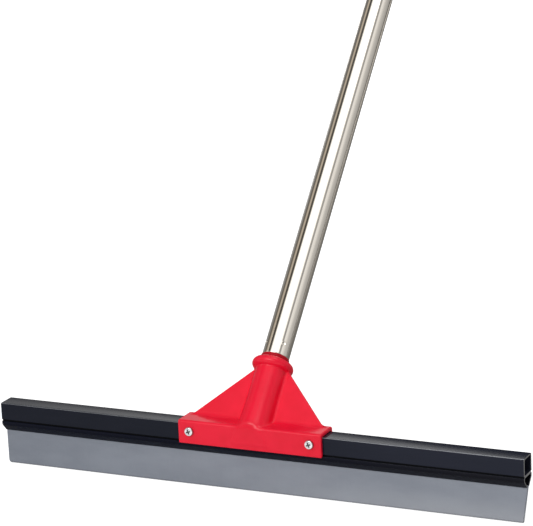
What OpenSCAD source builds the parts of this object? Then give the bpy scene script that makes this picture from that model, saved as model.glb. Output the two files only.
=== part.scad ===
// Floor squeegee: an extruded rail with a slide-in rubber blade, a moulded handle socket
// bolted over the rail, and a tube handle whose threaded ferrule screws into the socket.
// Millimetres. X runs along the rail, Y to the back, Z up. The origin is the middle of
// the blade's lower edge.

/* [Rail] */
// length of the rail
rail_length = 457; // [300:1:900]
// depth of the rail from front to back
rail_depth = 17; // [15:0.5:22]
// top face of the rail to the middle of its side grooves
box_height = 15; // [12:0.5:24]
// middle of the side grooves to the lips of the jaw
jaw_height = 10; // [9.5:0.5:14]
// wall of the extrusion
rail_wall = 1.4; // [1:0.1:1.8]
// radius on the long outer edges of the box
rail_edge_r = 0.6; // [0.3:0.1:1.5]
// height of the groove along each side
groove_height = 1.4; // [0.8:0.1:1.8]
// depth of the groove along each side
groove_depth = 1.3; // [0.6:0.1:1.8]
// radius of the jaw's shoulders
jaw_shoulder_r = 4; // [3:0.1:4.5]
// thickness of each lip beside the mouth
jaw_lip = 0.8; // [0.5:0.1:1.2]

/* [Blade] */
// thickness of the rubber sheet
blade_thick = 3.2; // [2.4:0.1:3.8]
// sheet below the lips of the jaw
blade_drop = 29; // [20:0.5:45]
// diameter of the bulb that the jaw holds
bulb_d = 6.4; // [5:0.1:7]
// bulb kept back from each end of the rail
bulb_setback = 8; // [2:0.5:20]
// how far the right end is trimmed in at the lower edge
blade_trim = 4; // [1:0.5:10]
// radius of the lower left corner
blade_corner_r = 2.5; // [1:0.1:6]
// gap between the rubber and the jaw on each side
blade_fit = 0.3; // [0.1:0.05:0.5]

/* [Socket] */
// width of the saddle along the rail
saddle_width = 125; // [116:1:180]
// wall of the saddle
saddle_wall = 3; // [2.4:0.1:4]
// saddle legs below the top face of the rail
saddle_drop = 16.3; // [12:0.1:20]
// radius on the long upper edges of the saddle
saddle_edge_r = 2.2; // [1:0.1:2.4]
// gap between the saddle and the rail
saddle_fit = 0.1; // [0.05:0.05:0.3]
// lean of the handle axis from the vertical
handle_lean = 43.3; // [35:0.1:50]
// handle axis below the top face of the rail at the rail's middle
axis_drop = 2.25; // [0:0.05:4]
// outer diameter of the socket tube
socket_d = 25.8; // [23.6:0.1:28]
// height of the rim along the axis
socket_reach = 59.5; // [57:0.5:80]
// outer diameter of the rolled bead under the rim
bead_d = 34; // [32:0.5:42]
// thickness of the bead along the axis
bead_thick = 8; // [7:0.1:11]
// feet of the webs in from the ends of the saddle
web_inset = 4.5; // [2:0.5:20]
// thickness of the webs
web_thick = 4.5; // [3:0.1:6]
// front face of the webs behind the handle axis
web_set_back = 0.5; // [0:0.1:4]
// radius of the fillet between the webs and the socket tube
web_fillet_r = 3; // [1:0.1:4]
// diameter of the flared foot of the socket tube
foot_d = 28; // [26.5:0.5:32]

/* [Fasteners] */
// bolts in from the ends of the saddle
bolt_inset = 10; // [8:0.5:20]
// bolts below the top face of the rail
bolt_drop = 5.8; // [5.5:0.1:7]
// diameter of the bolt shank
bolt_d = 4; // [3:0.1:4.4]
// diameter of the bolt head
bolt_head_d = 7.4; // [6.5:0.1:9]
// height of the bolt head
bolt_head_h = 2.4; // [1.8:0.1:3.2]
// bolt left showing behind the nut
bolt_tail = 1.4; // [0.8:0.1:6]
// clearance of the bolt holes in diameter
bolt_hole_fit = 0.4; // [0.2:0.1:0.8]
// outer diameter of the washers
washer_d = 9; // [8:0.1:9.4]
// thickness of the washers
washer_thick = 0.8; // [0.5:0.1:1.2]
// width of the nuts across their flats
nut_flats = 7; // [6.6:0.1:7.6]
// height of the hexagon of the nuts
nut_h = 3.2; // [2.2:0.1:4]
// height of the locking collar on the nuts
nut_collar_h = 1.6; // [0.8:0.1:2.4]
// clearance between nut or washer and bolt in diameter
nut_fit = 0.1; // [0.05:0.05:0.3]
// metal round the plastic locking insert of the nuts
insert_shell = 0.6; // [0.4:0.1:0.8]

/* [Screw joint] */
// pitch of the thread
thread_pitch = 5.08; // [4:0.01:5.5]
// turns of thread on the ferrule
thread_turns = 5; // [3:1:5]
// diameter at the crest of the ferrule's thread
thread_d = 18.6; // [17.6:0.1:18.8]
// radial height of the thread
thread_h = 2.3; // [1.4:0.1:2.6]
// gap between the two threads on every side
thread_gap = 0.35; // [0.25:0.05:0.5]
// height of the loose collar ring
ring_h = 4; // [3:0.5:9]
// outer diameter of the collar ring
ring_d = 23.4; // [22.6:0.1:25]

/* [Handle] */
// outer diameter of the tube
tube_d = 22.2; // [21.6:0.1:25.4]
// wall of the tube
tube_wall = 0.8; // [0.6:0.1:1]
// length of the tube
tube_length = 1219; // [600:1:1600]
// bevel round the lower end of the tube
tube_bevel = 0.4; // [0.2:0.1:0.5]
// length of the ferrule's plug inside the tube
plug_length = 36; // [20:1:60]
// gap between the plugs and the tube
plug_fit = 0.1; // [0.05:0.05:0.2]
// stakes above the lower end of the tube
stake_height = 10; // [6:0.5:14]
// radius of the staking punch
stake_r = 2; // [1.5:0.1:2.5]
// depth of each stake
stake_depth = 0.9; // [0.4:0.1:1]
// collar of the hanging cap that closes the tube
cap_collar_h = 4; // [2:0.5:10]
// thickness of the hanging eye
eye_thick = 8; // [5:0.5:9]
// width of the hanging eye
eye_width = 20; // [17:0.5:20]
// diameter of the hole in the hanging eye
eye_hole_d = 9; // [6:0.5:11]
// middle of the hanging hole above the cap's collar
eye_height = 12; // [9:0.5:30]

/* [Hidden] */
$fn = 96;

// levels from the blade's edge up
lip_z = blade_drop;
groove_z = lip_z + jaw_height;
rail_top = groove_z + box_height;
jaw_top = groove_z - groove_height / 2;
box_bottom = groove_z + groove_height / 2;
half_depth = rail_depth / 2;

// the wall between the hollow box and the bulb channel is thicker than the groove
divider = groove_height + rail_wall / 2;
mouth = blade_thick + 2 * blade_fit;
lip_half = mouth / 2 + jaw_lip;

// each jaw wall is the tangent from the lip to the circle of the shoulder
jaw_cheek = 1.1 * rail_wall;
arc_steps = 12;
shoulder = [-(half_depth - jaw_shoulder_r), jaw_top - jaw_cheek];
lip_to_shoulder = shoulder - [-lip_half, lip_z];
jaw_turn = atan2(lip_to_shoulder[1], lip_to_shoulder[0])
    + asin(jaw_shoulder_r / norm(lip_to_shoulder));
jaw_along = [cos(jaw_turn), sin(jaw_turn)];
jaw_out = [-sin(jaw_turn), cos(jaw_turn)];

// the bulb lies against both inner walls of the jaw with the blade's gap
inner_wall = shoulder + (jaw_shoulder_r - rail_wall) * jaw_out;
valley_z = inner_wall[1] - inner_wall[0] / jaw_along[0] * jaw_along[1];
bulb_z = valley_z + (bulb_d / 2 + blade_fit) / -jaw_along[0];

// saddle over the rail
saddle_inner = half_depth + saddle_fit;
saddle_half = saddle_inner + saddle_wall;
saddle_ceiling = rail_top + saddle_fit;
saddle_top = saddle_ceiling + saddle_wall;
saddle_bottom = rail_top - saddle_drop;
web_span = saddle_width - 2 * web_inset;

// heights along the handle axis, from the rail's middle plane
axis_z = rail_top - axis_drop;
rim = socket_reach;
bead_s = rim - bead_thick / 2;
ring_top = rim + ring_h;
tube_end = ring_top + tube_length;
socket_r = socket_d / 2;
foot_length = socket_r + saddle_half;
web_foot_s = (saddle_top - axis_z) / cos(handle_lean);
web_back = web_set_back + web_thick;
// the fillets cut a little into the tube, so that no two faces meet without an edge
fillet_bite = web_fillet_r / 16;

// the two threads share a flank angle and lie half a pitch apart
flank_angle = 14.5;
thread_r = thread_d / 2;
thread_core_r = thread_r - thread_h;
bore_r = thread_r + thread_gap;
bore_crest_r = thread_core_r + thread_gap;
pitch_r = (thread_r + bore_crest_r) / 2;
flank = tan(flank_angle);
ridge_width = thread_pitch / 2 - thread_gap / cos(flank_angle);
ridge_sink = 0.5;
shank_length = (thread_turns + 1) * thread_pitch;
thread_start = rim - shank_length + thread_pitch / 2;
bore_bottom = rim - shank_length - thread_pitch / 2;
ridge_steps = 20;

// bolts through the saddle and the rail
bolt_x = saddle_width / 2 - bolt_inset;
bolt_z = rail_top - bolt_drop;
washer_face = saddle_half + washer_thick;
nut_face = washer_face + nut_h + nut_collar_h;
bolt_length = saddle_half + nut_face + bolt_tail;
nut_collar_d = nut_flats - bolt_hole_fit;
insert_d = nut_collar_d - 2 * insert_shell;

// tube and its stakes, a quarter turn apart
tube_r = tube_d / 2;
tube_bore_r = tube_r - tube_wall;
plug_r = tube_bore_r - plug_fit;
plug_step = 2.4;
plug_bore_r = thread_core_r - plug_step;
stake_s = ring_top + stake_height;
stake_centre = tube_r - stake_depth + stake_r;
bulge_r = stake_r + tube_wall;

red = [0.93, 0.14, 0.2];
black = [0.12, 0.13, 0.16];
grey = [0.5, 0.51, 0.54];
steel = [0.8, 0.79, 0.77];
zinc = [0.72, 0.74, 0.76];
white = [0.9, 0.9, 0.88];

module rounded_rect(width, height, radius) {
    square([width - 2 * radius, height], center = true);
    square([width, height - 2 * radius], center = true);
    for (x = [-1, 1], y = [-1, 1])
        translate([x * (width / 2 - radius), y * (height / 2 - radius)])
            circle(radius);
}

// a section drawn in Y and Z, carried along X
module along_x(length) {
    rotate([90, 0, 90])
        linear_extrude(length, center = true)
            children();
}

// Z runs up the handle axis, X stays along the rail and Y points to the back and down
module on_axis(height) {
    translate([0, 0, axis_z])
        rotate([-handle_lean, 0, 0])
            translate([0, 0, height])
                children();
}

module both_sides() {
    children();
    mirror([1, 0])
        children();
}

// Z runs along a bolt from the rail's middle plane to the back
module bolt_line(side) {
    translate([side * bolt_x, 0, bolt_z])
        rotate([-90, 0, 0])
            children();
}

// both bolts run right through the saddle and the box of the rail
module bolt_holes() {
    for (side = [-1, 1])
        bolt_line(side)
            cylinder(d = bolt_d + bolt_hole_fit, h = 4 * saddle_half, center = true);
}

function arc(centre, radius, from, to) = [for (step = [0:arc_steps])
    let (turn = from + (to - from) * step / arc_steps)
    centre + radius * [cos(turn), sin(turn)]];

// left half of an outline, listed upwards, and then its mirror image
function whole(left) = concat(left, [for (k = [len(left) - 1:-1:0]) [-left[k][0], left[k][1]]]);

function shoulder_arc(inset) = arc(shoulder, jaw_shoulder_r - inset, jaw_turn + 90, 180);

module rail_outline() {
    neck = half_depth - groove_depth;
    polygon(whole(concat(
        [[-lip_half, lip_z]],
        shoulder_arc(0),
        [[-half_depth, jaw_top], [-neck, jaw_top], [-neck, box_bottom], [-half_depth, box_bottom]],
        arc([rail_edge_r - half_depth, rail_top - rail_edge_r], rail_edge_r, 180, 90))));
}

// channel that holds the blade's bulb
module bulb_channel() {
    radius = 0.7 * rail_wall;
    top = groove_z - divider / 2;
    wall = shoulder_arc(rail_wall);
    mouth_z = wall[0][1] + (-mouth / 2 - wall[0][0]) / jaw_along[0] * jaw_along[1];
    polygon(whole(concat(
        [[-mouth / 2, lip_z - rail_wall], [-mouth / 2, mouth_z]],
        wall,
        arc([rail_wall + radius - half_depth, top - radius], radius, 180, 90))));
}

module rail_section() {
    hollow_low = groove_z + divider / 2;
    hollow_height = rail_top - rail_wall - hollow_low;
    difference() {
        rail_outline();
        bulb_channel();
        translate([0, hollow_low + hollow_height / 2])
            rounded_rect(rail_depth - 2 * rail_wall, hollow_height, rail_wall);
    }
}

module square_at(width, low, high) {
    translate([-width / 2, low])
        square([width, high - low]);
}

module rail() {
    color(black)
        difference() {
            along_x(rail_length)
                rail_section();
            bolt_holes();
        }
}

// outline of the rubber sheet seen from the front
module blade_outline() {
    end = rail_length / 2;
    polygon([[-end, lip_z + jaw_lip], [-end, blade_corner_r], [-end + blade_corner_r, 0],
             [end - blade_trim, 0], [end, lip_z], [end, lip_z + jaw_lip]]);
    translate([-end + blade_corner_r, blade_corner_r])
        circle(blade_corner_r);
    square_at(rail_length - 2 * bulb_setback, lip_z, bulb_z);
}

module blade() {
    color(grey) {
        rotate([90, 0, 0])
            linear_extrude(blade_thick, center = true)
                blade_outline();
        translate([0, 0, bulb_z])
            rotate([0, 90, 0])
                cylinder(d = bulb_d, h = rail_length - 2 * bulb_setback, center = true);
    }
}

// one ridge of a thread: a trapezoid swept along a helix, from radius a out to radius b
module thread_ridge(start, turns, radius_a, radius_b, width_a, width_b) {
    steps = turns * ridge_steps;
    corners = [[radius_a, -width_a / 2], [radius_b, -width_b / 2],
               [radius_b, width_b / 2], [radius_a, width_a / 2]];
    points = [for (step = [0:steps], corner = corners)
        let (turn = 360 * step / ridge_steps)
        [corner[0] * cos(turn), corner[0] * sin(turn), corner[1] + start + thread_pitch * turn / 360]];
    walls = [for (step = [0:steps - 1], k = [0:3])
        let (a = 4 * step + k, b = 4 * step + (k + 1) % 4)
        each [[a, b, a + 4], [b, b + 4, a + 4]]];
    last = 4 * steps;
    ends = [[0, 2, 1], [0, 3, 2], [last, last + 1, last + 2], [last, last + 2, last + 3]];
    polyhedron(points, concat(walls, ends));
}

function outer_ridge_width(radius) = ridge_width - 2 * flank * (radius - pitch_r);
function inner_ridge_width(radius) = ridge_width + 2 * flank * (radius - pitch_r);

module saddle_section() {
    crown = 4 * saddle_edge_r;
    difference() {
        union() {
            translate([0, saddle_top - crown / 2])
                rounded_rect(2 * saddle_half, crown, saddle_edge_r);
            square_at(2 * saddle_half, saddle_bottom, saddle_top - saddle_edge_r);
        }
        square_at(2 * saddle_inner, saddle_bottom - saddle_wall, saddle_ceiling);
    }
}

// fillet between the socket tube and a web face that lies at the given depth
module web_fillet(face, way) {
    middle_y = face + way * web_fillet_r;
    middle_x = sqrt(pow(socket_r + web_fillet_r - fillet_bite, 2) - pow(middle_y, 2));
    difference() {
        polygon([[0, 0], [middle_x, middle_y], [middle_x, face], [0, face]]);
        translate([middle_x, middle_y])
            circle(web_fillet_r);
    }
}

// section of both webs across the handle axis, with their fillets
module web_section() {
    translate([-web_span / 2, web_set_back])
        square([web_span, web_thick]);
    both_sides() {
        web_fillet(web_set_back, -1);
        web_fillet(web_back, 1);
    }
}

// outline of both webs in the plane of the handle axis
module web_outline() {
    foot = web_span / 2;
    polygon([[-foot, 0], [foot, 0], [foot, web_foot_s], [socket_r, bead_s], [-socket_r, bead_s],
             [-foot, web_foot_s]]);
}

module webs() {
    on_axis(0)
        intersection() {
            linear_extrude(bead_s)
                web_section();
            rotate([90, 0, 0])
                linear_extrude(2 * socket_d, center = true)
                    web_outline();
        }
}

// socket tube with its flared foot, cut flush with the front of the saddle
module socket_tube() {
    width = 2 * foot_d;
    intersection() {
        on_axis(-foot_length)
            union() {
                cylinder(r = socket_r, h = foot_length + rim);
                cylinder(d1 = 2 * foot_d - socket_d, d2 = socket_d, h = 2 * foot_length);
            }
        translate([-width / 2, -saddle_half, saddle_bottom])
            cube([width, width + rim, width + rim]);
    }
}

module socket() {
    color(red) {
        difference() {
            union() {
                along_x(saddle_width)
                    saddle_section();
                socket_tube();
                webs();
                on_axis(bead_s)
                    rotate_extrude()
                        translate([(bead_d - bead_thick) / 2, 0])
                            circle(d = bead_thick);
            }
            along_x(saddle_width + saddle_wall)
                square_at(2 * saddle_inner, saddle_bottom - saddle_wall, saddle_ceiling);
            on_axis(bore_bottom)
                cylinder(r = bore_r, h = rim);
            bolt_holes();
        }
        on_axis(0)
            thread_ridge(thread_start + thread_pitch / 2, thread_turns - 1,
                         bore_crest_r, bore_r + ridge_sink,
                         inner_ridge_width(bore_crest_r), inner_ridge_width(bore_r + ridge_sink));
    }
}

module bolt(side) {
    dome_r = bolt_head_d;
    slot = bolt_d / 4;
    color(zinc)
        bolt_line(side)
            translate([0, 0, -saddle_half]) {
                difference() {
                    rotate([180, 0, 0])
                        rotate_extrude()
                            intersection() {
                                square([bolt_head_d / 2, bolt_head_h]);
                                translate([0, bolt_head_h - dome_r])
                                    circle(dome_r);
                            }
                    for (turn = [20, 110])
                        rotate(turn)
                            translate([-bolt_head_d / 4, -slot / 2, -2 * bolt_head_h])
                                cube([bolt_head_d / 2, slot, 1.6 * bolt_head_h]);
                }
                cylinder(d = bolt_d, h = bolt_length - slot / 2);
                translate([0, 0, bolt_length - slot / 2])
                    cylinder(d1 = bolt_d, d2 = bolt_d - slot, h = slot / 2);
            }
}

module bolt_left() { bolt(-1); }
module bolt_right() { bolt(1); }

module washer(side) {
    color(zinc)
        bolt_line(side)
            translate([0, 0, saddle_half])
                difference() {
                    cylinder(d = washer_d, h = washer_thick);
                    cylinder(d = bolt_d + nut_fit, h = 4 * washer_thick, center = true);
                }
}

module washer_left() { washer(-1); }
module washer_right() { washer(1); }

module nut(side) {
    corner_d = nut_flats / cos(30);
    color(zinc)
        bolt_line(side)
            translate([0, 0, washer_face])
                difference() {
                    union() {
                        intersection() {
                            cylinder(d = corner_d, h = nut_h, $fn = 6);
                            cylinder(d1 = nut_flats + nut_h, d2 = nut_flats, h = nut_h);
                        }
                        cylinder(d = nut_collar_d, h = nut_h + nut_collar_h);
                    }
                    cylinder(d = bolt_d + nut_fit, h = 4 * nut_h, center = true);
                    translate([0, 0, nut_h])
                        cylinder(d = insert_d, h = 2 * nut_collar_h);
                }
}

module nut_left() { nut(-1); }
module nut_right() { nut(1); }

// plastic ring that grips the bolt, a little below the end of the nut's collar
module nut_insert(side) {
    color(white)
        bolt_line(side)
            translate([0, 0, washer_face + nut_h])
                difference() {
                    cylinder(d = insert_d - nut_fit, h = 0.8 * nut_collar_h);
                    cylinder(d = bolt_d + nut_fit, h = 4 * nut_collar_h, center = true);
                }
}

module nut_insert_left() { nut_insert(-1); }
module nut_insert_right() { nut_insert(1); }

module collar_ring() {
    ring_wall = ring_d / 2 - bore_r;
    color(red)
        on_axis(rim + ring_h / 2)
            rotate_extrude()
                translate([bore_r + ring_wall / 2, 0])
                    rounded_rect(ring_wall, ring_h, ring_wall / 5);
}

// punch marks round the tube, a quarter turn apart
module stakes(radius) {
    for (turn = [45:90:315])
        rotate(turn)
            translate([stake_centre, 0, stake_s])
                sphere(radius);
}

module ferrule() {
    tip = thread_pitch / 4;
    color(red)
        on_axis(0) {
            difference() {
                union() {
                    translate([0, 0, rim - shank_length + tip])
                        cylinder(r = thread_core_r, h = shank_length + ring_h);
                    translate([0, 0, rim - shank_length])
                        cylinder(r1 = thread_core_r - tip / 2, r2 = thread_core_r, h = tip);
                    translate([0, 0, rim])
                        cylinder(r = thread_r, h = ring_h);
                    translate([0, 0, ring_top])
                        cylinder(r = plug_r, h = plug_length);
                }
                translate([0, 0, ring_top])
                    cylinder(r = plug_bore_r, h = plug_length + ring_h);
                stakes(bulge_r + plug_fit);
            }
            thread_ridge(thread_start, thread_turns,
                         thread_core_r - ridge_sink, thread_r,
                         outer_ridge_width(thread_core_r - ridge_sink), outer_ridge_width(thread_r));
        }
}

module handle_tube() {
    color(steel)
        on_axis(0)
            difference() {
                union() {
                    translate([0, 0, ring_top])
                        difference() {
                            union() {
                                cylinder(r1 = tube_r - tube_bevel, r2 = tube_r, h = tube_bevel);
                                translate([0, 0, tube_bevel])
                                    cylinder(r = tube_r, h = tube_length - tube_bevel);
                            }
                            translate([0, 0, -ring_h])
                                cylinder(r = tube_bore_r, h = tube_length + 2 * ring_h);
                        }
                    intersection() {
                        translate([0, 0, ring_top])
                            cylinder(r = tube_r - tube_wall / 2, h = 2 * stake_height);
                        stakes(bulge_r);
                    }
                }
                stakes(stake_r);
            }
}

// hanging eye seen from the front
module eye_outline() {
    square_at(eye_width, 0, eye_height);
    translate([0, eye_height])
        circle(d = eye_width);
}

module hang_cap() {
    color(red)
        on_axis(tube_end)
            difference() {
                union() {
                    translate([0, 0, -plug_length])
                        cylinder(r = plug_r, h = plug_length);
                    cylinder(r = tube_r - plug_fit, h = cap_collar_h);
                    translate([0, 0, cap_collar_h])
                        rotate([90, 0, 0])
                            linear_extrude(eye_thick, center = true)
                                eye_outline();
                }
                translate([0, 0, -2 * plug_length])
                    cylinder(r = plug_bore_r, h = 2 * plug_length);
                translate([0, 0, cap_collar_h + eye_height])
                    rotate([90, 0, 0])
                        cylinder(d = eye_hole_d, h = tube_d, center = true);
            }
}

rail();
blade();
socket();
bolt_left();
bolt_right();
washer_left();
washer_right();
nut_left();
nut_right();
nut_insert_left();
nut_insert_right();
collar_ring();
ferrule();
handle_tube();
hang_cap();
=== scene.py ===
import math

import bmesh
import bpy
import numpy as np
from mathutils import Matrix, Vector
from mathutils.geometry import tessellate_polygon


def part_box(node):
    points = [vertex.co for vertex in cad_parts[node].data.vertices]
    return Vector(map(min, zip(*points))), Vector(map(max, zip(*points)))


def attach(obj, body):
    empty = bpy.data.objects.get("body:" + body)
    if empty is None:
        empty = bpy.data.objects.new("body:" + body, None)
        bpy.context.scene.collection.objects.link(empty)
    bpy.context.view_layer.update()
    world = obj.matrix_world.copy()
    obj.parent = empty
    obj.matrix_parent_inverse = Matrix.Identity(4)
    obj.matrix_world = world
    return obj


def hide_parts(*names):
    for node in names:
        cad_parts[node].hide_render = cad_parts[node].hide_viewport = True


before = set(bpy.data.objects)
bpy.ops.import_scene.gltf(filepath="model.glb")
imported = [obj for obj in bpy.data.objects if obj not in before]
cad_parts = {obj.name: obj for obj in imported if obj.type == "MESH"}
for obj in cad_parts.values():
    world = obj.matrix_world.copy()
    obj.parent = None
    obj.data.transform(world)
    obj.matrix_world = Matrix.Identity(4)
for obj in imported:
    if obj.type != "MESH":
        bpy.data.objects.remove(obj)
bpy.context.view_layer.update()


# Rail
# A hollow black anodised aluminium extrusion: a box above, a groove along each side and a jaw
# below. It is sawn to length, so both ends show bare metal. The socket's saddle is bolted over it.

MM = 0.001


class Shade:
    """One output of a material's nodes. Operators on it add maths nodes, and node() adds any other."""

    def __init__(self, tree, socket=None):
        self.tree = tree
        self.socket = socket

    def node(self, kind, output=0, inputs=None, **settings):
        """Adds a node with these settings, fills its inputs with values or links, and gives one output."""
        made = self.tree.nodes.new(kind)
        stops = settings.pop("stops", [])
        for _ in stops[2:]:
            made.color_ramp.elements.new(0.5)
        for index, (position, level) in enumerate(stops):
            made.color_ramp.elements[index].position = position
            made.color_ramp.elements[index].color = (level, level, level, 1)
        for name, value in settings.items():
            setattr(made, name, value)
        for name, value in (inputs or {}).items():
            if isinstance(value, Shade):
                self.tree.links.new(value.socket, made.inputs[name])
            else:
                made.inputs[name].default_value = value
        return Shade(self.tree, made.outputs[output])

    def maths(self, operation, *values):
        return self.node("ShaderNodeMath", inputs=dict(enumerate(values)), operation=operation)

    def __add__(self, other):
        return self.maths("ADD", self, other)

    def __radd__(self, other):
        return self.maths("ADD", other, self)

    def __sub__(self, other):
        return self.maths("SUBTRACT", self, other)

    def __rsub__(self, other):
        return self.maths("SUBTRACT", other, self)

    def __mul__(self, other):
        return self.maths("MULTIPLY", self, other)

    def __rmul__(self, other):
        return self.maths("MULTIPLY", other, self)

    def __truediv__(self, other):
        return self.maths("DIVIDE", self, other)

    def __rtruediv__(self, other):
        return self.maths("DIVIDE", other, self)

    def __pow__(self, other):
        return self.maths("POWER", self, other)

    def __rpow__(self, other):
        return self.maths("POWER", other, self)

    def __abs__(self):
        return self.maths("ABSOLUTE", self)

    def ramp(self, low, high, start=0.0, end=1.0):
        """Goes smoothly from start to end as this value goes from low to high."""
        values = {"Value": self, "From Min": low, "From Max": high, "To Min": start, "To Max": end}
        return self.node("ShaderNodeMapRange", inputs=values, interpolation_type="SMOOTHSTEP")

    def mix(self, first, second):
        """The first colour where this value is 0 and the second where it is 1."""
        values = {"Factor": self, 6: first, 7: second}
        return self.node("ShaderNodeMix", 2, values, data_type="RGBA")


def place(paint):
    """The point's place in the row frame, as three values in millimetres."""
    where = paint.node("ShaderNodeTexCoord", "Object")
    return [paint.node("ShaderNodeSeparateXYZ", axis, {0: where}) * (1 / MM) for axis in "XYZ"]


def noise(paint, x, y, z, detail=3.0, roughness=0.55):
    """Noise with a middle value of one half, at a point given as three values."""
    point = paint.node("ShaderNodeCombineXYZ", inputs={0: x, 1: y, 2: z})
    values = {"Vector": point, "Scale": 1.0, "Detail": detail, "Roughness": roughness}
    return paint.node("ShaderNodeTexNoise", "Fac", values)


def new_material(name, **constants):
    """A material, the start of its node maths and its shader, whose constants are set by socket name."""
    material = bpy.data.materials.new(name)
    material.use_nodes = True
    shader = material.node_tree.nodes["Principled BSDF"]
    for socket, value in constants.items():
        shader.inputs[socket.replace("_", " ")].default_value = value
    return material, Shade(material.node_tree), shader


def drive(shader, paint, **values):
    """Links each value to the shader's socket of that name."""
    for socket, value in values.items():
        paint.tree.links.new(value.socket, shader.inputs[socket.replace("_", " ")])


def bumps(paint, height, depth_mm):
    """A normal from a height between 0 and 1 that stands for this depth."""
    values = {"Height": height, "Distance": depth_mm * MM, "Strength": 1.0}
    return paint.node("ShaderNodeBump", inputs=values)


def add_piece(name, points, faces, material, body, smooth_angle=None):
    """A mesh object from points in millimetres and lists of faces, riding on a body. Points that coincide
    become one, and the faces are turned to point outwards."""
    mesh = bpy.data.meshes.new(name)
    face_list = [face for part in faces for face in np.asarray(part).tolist()]
    mesh.from_pydata((np.asarray(points) * MM).tolist(), [], face_list)
    build = bmesh.new()
    build.from_mesh(mesh)
    bmesh.ops.remove_doubles(build, verts=build.verts, dist=0.001 * MM)
    bmesh.ops.recalc_face_normals(build, faces=build.faces)
    build.to_mesh(mesh)
    build.free()
    mesh.polygons.foreach_set("use_smooth", np.ones(len(mesh.polygons), bool))
    if smooth_angle is not None:
        mesh.set_sharp_from_angle(angle=math.radians(smooth_angle))
    piece = bpy.data.objects.new(name, mesh)
    bpy.context.scene.collection.objects.link(piece)
    mesh.materials.append(material)
    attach(piece, body)
    return piece


def grid_quads(rows, columns, closed, first=0):
    """Quads between neighbouring rows of points; a closed grid joins its last column to its first."""
    across = np.arange(columns if closed else columns - 1)
    down = np.arange(rows - 1)[:, None]
    here = first + down * columns + across
    beside = first + down * columns + (across + 1) % columns
    return np.stack([here, beside, beside + columns, here + columns], -1).reshape(-1, 4)


def rounded_loop(corners, steps=7):
    """A closed outline from corners (across, up, radius): each corner becomes the arc of that radius
    which touches both of its sides."""
    corners = np.array(corners, float)
    spot, radius = corners[:, :2], corners[:, 2]
    to_last = np.roll(spot, 1, 0) - spot
    to_next = np.roll(spot, -1, 0) - spot
    to_last /= np.linalg.norm(to_last, axis=1)[:, None]
    to_next /= np.linalg.norm(to_next, axis=1)[:, None]
    half = np.arccos(np.clip((to_last * to_next).sum(1), -1, 1)) / 2
    reach = radius / np.tan(half)
    middle = to_last + to_next
    middle /= np.linalg.norm(middle, axis=1)[:, None]
    centre = spot + middle * (radius / np.sin(half))[:, None]
    start = spot + to_last * reach[:, None] - centre
    end = spot + to_next * reach[:, None] - centre
    from_angle = np.arctan2(start[:, 1], start[:, 0])
    sweep = np.arctan2(end[:, 1], end[:, 0]) - from_angle
    sweep = (sweep + math.pi) % (2 * math.pi) - math.pi
    turn = from_angle[:, None] + sweep[:, None] * np.linspace(0, 1, steps)
    arc = np.stack([np.cos(turn), np.sin(turn)], -1) * radius[:, None, None]
    return (centre[:, None] + arc).reshape(-1, 2)


def mirrored(left, middle):
    """The corners of the left half, the middle one, and then those of the right half, going on round."""
    return left + [middle] + [(-across, up, radius) for across, up, radius in reversed(left)]


def grown(loop, amount):
    """The outline moved sideways by an amount, to the right of the way round."""
    along = np.roll(loop, -1, 0) - np.roll(loop, 1, 0)
    along /= np.linalg.norm(along, axis=1)[:, None]
    return loop + amount * np.stack([along[:, 1], -along[:, 0]], -1)


rail_low, rail_high = (np.array(corner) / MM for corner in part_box("rail"))
rail_half = rail_high[0]
rail_top, lip_z = rail_high[2], rail_low[2]
rail_deep = rail_high[1]
rail_wall = 1.4
jaw_height, groove_height, groove_depth = 9.3, 1.4, 1.3
jaw_top = lip_z + jaw_height
box_low = jaw_top + groove_height
neck = rail_deep - groove_depth
mouth_half, lip_half = 1.9, 2.7
jaw_rise = 1.09
floor_skin = 0.35
saw_burr = 0.18
crown, crown_peak, crown_r = 0.2, 0.08, 220

shoulder_z = lip_z + (rail_deep - lip_half) * jaw_rise
inner_lip = lip_half - rail_wall / math.sin(math.atan(1 / jaw_rise)) / jaw_rise
inner_shoulder_z = lip_z + (rail_deep - rail_wall - inner_lip) * jaw_rise
inner_mouth_z = lip_z + (mouth_half - inner_lip) * jaw_rise
outside = [
    (-lip_half, lip_z, 0.3),
    (-rail_deep, shoulder_z, 4.0),
    (-rail_deep, jaw_top, 0.35),
    (-neck, jaw_top, 0.2),
    (-neck, box_low, 0.2),
    (-rail_deep, box_low, 0.35),
    (-rail_deep, rail_top - crown, 0.7),
]
top_middle = (0, rail_top + crown_peak, crown_r)
box_in = rail_deep - rail_wall
channel = [
    (box_in, jaw_top - floor_skin, 0.9),
    (box_in, inner_shoulder_z, 2.2),
    (mouth_half, inner_mouth_z, 0.3),
    (mouth_half, lip_z, 0.2),
]
other_side = [(-across, up, radius) for across, up, radius in channel]
section = rounded_loop(mirrored(outside, top_middle) + channel[::-1] + other_side)
box_floor, box_roof = box_low + floor_skin, rail_top - rail_wall
hollow = rounded_loop([
    (-box_in, box_floor, rail_wall),
    (box_in, box_floor, rail_wall),
    (box_in, box_roof, rail_wall),
    (-box_in, box_roof, rail_wall),
])


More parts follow.
